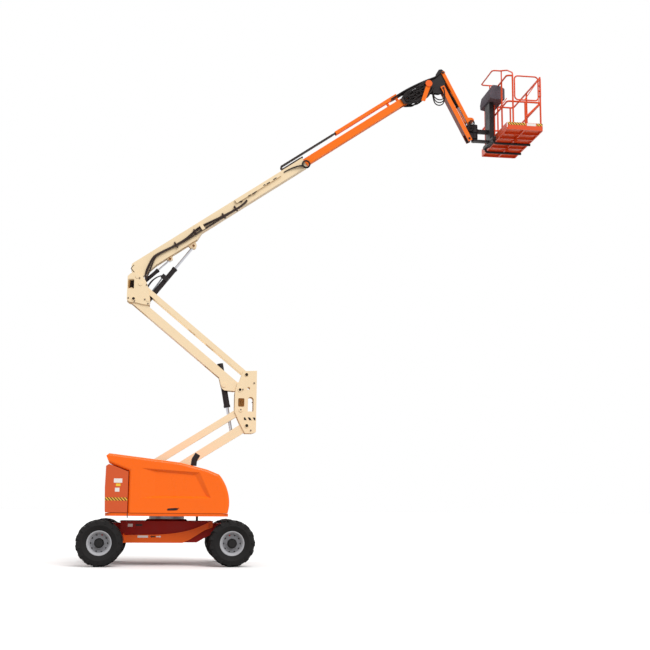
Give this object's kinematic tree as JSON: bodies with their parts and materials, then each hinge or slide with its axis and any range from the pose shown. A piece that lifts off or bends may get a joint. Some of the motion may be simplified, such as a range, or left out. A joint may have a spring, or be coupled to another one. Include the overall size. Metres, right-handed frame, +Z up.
{
  "type": "articulating boom lift",
  "caption": "Wheeled articulating boom lift, raised: slewing turntable, folding parallelogram tower, telescopic boom, jib and railed work platform.",
  "frame": {"origin": "On the ground under the slew axis, midway between the axles and on the machine's middle plane.", "axes": "+X along the chassis towards the steered axle and the boom's reach, +Y across the machine, +Z up."},
  "size_m": [8.9251, 2.3196, 10.188],
  "materials": {
    "cream_paint": "satin",
    "orange_paint": "gloss",
    "fly_orange": "gloss",
    "hood_orange": "gloss",
    "counterweight_orange": "painted",
    "chassis_red": "gloss",
    "basket_orange": "gloss",
    "black_paint": "satin",
    "rod_chrome": "polished",
    "steel_grey": "machined",
    "rim_grey": "satin",
    "tyre_black": "moulded",
    "black_plastic": "moulded",
    "cover_grey": "woven cover",
    "engine_grey": "cast"
  },
  "bodies": {
    "chassis": {"chassis_frame": "chassis_red", "frame_rails": "orange_paint", "tie_down_eyes": "orange_paint", "axle_fixed": "black_paint", "axle_steer": "black_paint", "slew_ring": "steel_grey"},
    "knuckle_near": {"knuckle_near": "black_paint"},
    "knuckle_far": {"knuckle_far": "black_paint"},
    "tie_rod": {"tie_rod": "black_paint"},
    "turntable": {"turntable_frame": "orange_paint", "tower_foot_pins": "steel_grey", "counterweight": "counterweight_orange", "engine_block": "engine_grey"},
    "hood_near": {"hood_near": "hood_orange", "exhaust_pipe": "black_paint"},
    "hood_far": {"hood_far": "hood_orange"},
    "main_boom": {"main_boom": "cream_paint"},
    "fly_boom": {"fly_boom": "fly_orange", "carrier_tube": "fly_orange", "level_cylinder_barrel": "black_paint"},
    "platform": {"platform_support": "black_paint", "platform_fork_near": "black_paint", "platform_fork_far": "black_paint", "platform_floor": "basket_orange", "rails_inner": "basket_orange", "rails_outer": "basket_orange", "rails_far_end": "basket_orange", "rails_near_end": "basket_orange", "console_guard": "basket_orange", "control_console": "cover_grey"},
    "wheel_front_near": {"tyre_front_near": "tyre_black", "rim_front_near": "rim_grey"},
    "wheel_front_far": {"tyre_front_far": "tyre_black", "rim_front_far": "rim_grey"},
    "wheel_rear_near": {"tyre_rear_near": "tyre_black", "rim_rear_near": "rim_grey"},
    "wheel_rear_far": {"tyre_rear_far": "tyre_black", "rim_rear_far": "rim_grey"},
    "lower_boom": {"lower_boom": "cream_paint"},
    "lower_link": {"lower_link": "cream_paint"},
    "mid_upright": {"mid_upright": "cream_paint"},
    "upper_boom": {"upper_boom": "cream_paint"},
    "upper_link": {"upper_link": "cream_paint"},
    "top_upright": {"top_upright": "cream_paint"},
    "tower_cylinder_barrel": {"tower_cylinder_barrel": "black_paint"},
    "tower_cylinder_rod": {"tower_cylinder_rod": "rod_chrome"},
    "lift_cylinder_barrel": {"lift_cylinder_barrel": "black_paint"},
    "lift_cylinder_rod": {"lift_cylinder_rod": "rod_chrome"},
    "master_cylinder_barrel": {"master_cylinder_barrel": "black_paint"},
    "master_cylinder_rod": {"master_cylinder_rod": "rod_chrome"},
    "cable_carrier": {"cable_carrier": "black_plastic"},
    "level_head": {"level_head": "black_paint"},
    "level_cylinder_rod": {"level_cylinder_rod": "rod_chrome"},
    "jib_lower": {"jib_lower": "fly_orange"},
    "jib_upper": {"jib_upper": "fly_orange"},
    "jib_cylinder_barrel": {"jib_cylinder_barrel": "black_paint"},
    "jib_cylinder_rod": {"jib_cylinder_rod": "rod_chrome"},
    "jib_end": {"jib_end": "black_paint"},
    "gate": {"gate": "basket_orange"}
  },
  "joints": [
    {"name": "spin_rear_near", "type": "hinge", "parent": "chassis", "child": "wheel_rear_near", "pos_m": [-1.185, -1.0035, 0.42], "axis": [0, 1, 0], "continuous": true},
    {"name": "spin_rear_far", "type": "hinge", "parent": "chassis", "child": "wheel_rear_far", "pos_m": [-1.185, 1.0035, 0.42], "axis": [0, 1, 0], "continuous": true},
    {"name": "spin_front_near", "type": "hinge", "parent": "knuckle_near", "child": "wheel_front_near", "pos_m": [1.185, -1.0035, 0.42], "axis": [0, 1, 0], "continuous": true},
    {"name": "spin_front_far", "type": "hinge", "parent": "knuckle_far", "child": "wheel_front_far", "pos_m": [1.185, 1.0035, 0.42], "axis": [0, 1, 0], "continuous": true},
    {"name": "steer_near", "type": "hinge", "parent": "chassis", "child": "knuckle_near", "pos_m": [1.185, -0.815, 0.42], "axis": [0, 0, 1], "range_deg": [-30, 30]},
    {"name": "steer_far", "type": "hinge", "parent": "chassis", "child": "knuckle_far", "pos_m": [1.185, 0.815, 0.42], "axis": [0, 0, 1], "range_deg": [-30.5, 30.5]},
    {"name": "tie_rod_slide", "type": "slide", "parent": "chassis", "child": "tie_rod", "axis": [0, -1, 0], "range_m": [-0.092, 0.092]},
    {"name": "swing", "type": "hinge", "parent": "chassis", "child": "turntable", "pos_m": [0, 0, 0.9], "axis": [0, 0, 1], "range_deg": [-177.5, 177.5]},
    {"name": "hood_near_open", "type": "hinge", "parent": "turntable", "child": "hood_near", "pos_m": [-1.063, -0.274, 2.006], "axis": [-0.993, 0, 0.1182], "range_deg": [0, 65]},
    {"name": "hood_far_open", "type": "hinge", "parent": "turntable", "child": "hood_far", "pos_m": [-1.063, 0.274, 2.006], "axis": [0.993, 0, -0.1182], "range_deg": [0, 65]},
    {"name": "tower_lift", "type": "hinge", "parent": "turntable", "child": "lower_boom", "pos_m": [-0.848, 0, 1.144], "axis": [0, -1, 0], "range_deg": [-32.5, 32]},
    {"name": "tower_link", "type": "hinge", "parent": "turntable", "child": "lower_link", "pos_m": [-0.97, 0, 1.441], "axis": [0, -1, 0], "range_deg": [-32.8, 32.3]},
    {"name": "mid_level", "type": "hinge", "parent": "lower_boom", "child": "mid_upright", "pos_m": [1.47976, 0, 2.62695], "axis": [0, -1, 0], "range_deg": [-32.3, 32.8]},
    {"name": "upper_lift", "type": "hinge", "parent": "mid_upright", "child": "upper_boom", "pos_m": [1.33576, 0, 3.32195], "axis": [0, -1, 0], "range_deg": [-39.09, 39.7]},
    {"name": "upper_link_turn", "type": "hinge", "parent": "mid_upright", "child": "upper_link", "pos_m": [1.45776, 0, 3.61895], "axis": [0, -1, 0], "range_deg": [-39.09, 39.7]},
    {"name": "top_level", "type": "hinge", "parent": "upper_boom", "child": "top_upright", "pos_m": [-0.76607, 0, 5.04841], "axis": [0, -1, 0], "range_deg": [-39.7, 39.09]},
    {"name": "tower_cylinder_turn", "type": "hinge", "parent": "upper_boom", "child": "tower_cylinder_barrel", "pos_m": [1.02352, 0, 3.40501], "axis": [0, -1, 0], "range_deg": [-36.42, 35.87]},
    {"name": "tower_cylinder_stroke", "type": "slide", "parent": "tower_cylinder_barrel", "child": "tower_cylinder_rod", "axis": [0.1804, 0, -0.9836], "range_m": [-0.3639, 0.3583]},
    {"name": "boom_lift", "type": "hinge", "parent": "top_upright", "child": "main_boom", "pos_m": [-0.707, 0, 5.497], "axis": [0, -1, 0], "range_deg": [-35, 38]},
    {"name": "lift_cylinder_turn", "type": "hinge", "parent": "top_upright", "child": "lift_cylinder_barrel", "pos_m": [-0.492, 0, 5.036], "axis": [0, -1, 0], "range_deg": [-29.42, 31.92]},
    {"name": "lift_cylinder_stroke", "type": "slide", "parent": "lift_cylinder_barrel", "child": "lift_cylinder_rod", "axis": [0.6067, 0, 0.7949], "range_m": [-0.2622, 0.2845]},
    {"name": "master_cylinder_turn", "type": "hinge", "parent": "top_upright", "child": "master_cylinder_barrel", "pos_m": [-0.64407, 0, 5.34541], "axis": [0, -1, 0], "range_deg": [-34.35, 37.27]},
    {"name": "master_cylinder_stroke", "type": "slide", "parent": "master_cylinder_barrel", "child": "master_cylinder_rod", "axis": [0.7253, 0, 0.6885], "range_m": [-0.1242, 0.1346]},
    {"name": "telescope", "type": "slide", "parent": "main_boom", "child": "fly_boom", "axis": [0.8192, 0, 0.5736], "range_m": [-2.1, 0.3]},
    {"name": "carrier_slide", "type": "slide", "parent": "main_boom", "child": "cable_carrier", "axis": [0.8192, 0, 0.5736], "range_m": [-1.052, 0.152]},
    {"name": "head_level", "type": "hinge", "parent": "fly_boom", "child": "level_head", "pos_m": [5.14098, 0, 9.82008], "axis": [0, -1, 0], "range_deg": [-38.3, 35.3]},
    {"name": "level_cylinder_stroke", "type": "slide", "parent": "fly_boom", "child": "level_cylinder_rod", "axis": [0.8769, 0, 0.4807], "range_m": [-0.0793, 0.0732]},
    {"name": "jib_lift", "type": "hinge", "parent": "level_head", "child": "jib_lower", "pos_m": [5.463, 0, 9.763], "axis": [0, -1, 0], "range_deg": [0, 120]},
    {"name": "jib_link", "type": "hinge", "parent": "level_head", "child": "jib_upper", "pos_m": [5.463, 0, 10.103], "axis": [0, -1, 0], "range_deg": [-0.3, 120.3]},
    {"name": "jib_end_level", "type": "hinge", "parent": "jib_lower", "child": "jib_end", "pos_m": [6.01245, 0, 8.69618], "axis": [0, -1, 0], "range_deg": [-120.3, 0.3]},
    {"name": "jib_cylinder_turn", "type": "hinge", "parent": "level_head", "child": "jib_cylinder_barrel", "pos_m": [5.463, 0, 9.933], "axis": [0, -1, 0], "range_deg": [-0.3, 122.8]},
    {"name": "jib_cylinder_stroke", "type": "slide", "parent": "jib_cylinder_barrel", "child": "jib_cylinder_rod", "axis": [0.5224, 0, -0.8527], "range_m": [-0.002, 0.3028]},
    {"name": "platform_rotate", "type": "hinge", "parent": "jib_end", "child": "platform", "pos_m": [6.14, 0, 8.85], "axis": [0, 0, 1], "range_deg": [-90, 90]},
    {"name": "gate_swing", "type": "hinge", "parent": "platform", "child": "gate", "pos_m": [7.243, -0.891, 9.5], "axis": [0, 0, -1], "range_deg": [0, 90]}
  ],
  "couplings": [
    {"joint": "steer_far", "follows": "steer_near", "ratio": 1},
    {"joint": "tie_rod_slide", "follows": "steer_near", "m_per_rad": 0.1719},
    {"joint": "tower_link", "follows": "tower_lift", "ratio": 1},
    {"joint": "mid_level", "follows": "tower_lift", "ratio": -1},
    {"joint": "upper_lift", "follows": "tower_lift", "ratio": -1.2123},
    {"joint": "upper_link_turn", "follows": "tower_lift", "ratio": -1.2123},
    {"joint": "top_level", "follows": "tower_lift", "ratio": 1.2123},
    {"joint": "tower_cylinder_turn", "follows": "tower_lift", "ratio": 1.1114},
    {"joint": "tower_cylinder_stroke", "follows": "tower_lift", "m_per_rad": 0.638},
    {"joint": "lift_cylinder_turn", "follows": "boom_lift", "ratio": 0.832},
    {"joint": "lift_cylinder_stroke", "follows": "boom_lift", "m_per_rad": 0.426},
    {"joint": "master_cylinder_turn", "follows": "boom_lift", "ratio": 0.973},
    {"joint": "master_cylinder_stroke", "follows": "boom_lift", "m_per_rad": 0.2},
    {"joint": "carrier_slide", "follows": "telescope", "ratio": 0.5},
    {"joint": "head_level", "follows": "boom_lift", "ratio": -1},
    {"joint": "level_cylinder_stroke", "follows": "boom_lift", "m_per_rad": -0.1165},
    {"joint": "jib_link", "follows": "jib_lift", "ratio": 1},
    {"joint": "jib_end_level", "follows": "jib_lift", "ratio": -1},
    {"joint": "jib_cylinder_turn", "follows": "jib_lift", "ratio": 1.0208},
    {"joint": "jib_cylinder_stroke", "follows": "jib_lift", "m_per_rad": 0.1436}
  ]
}
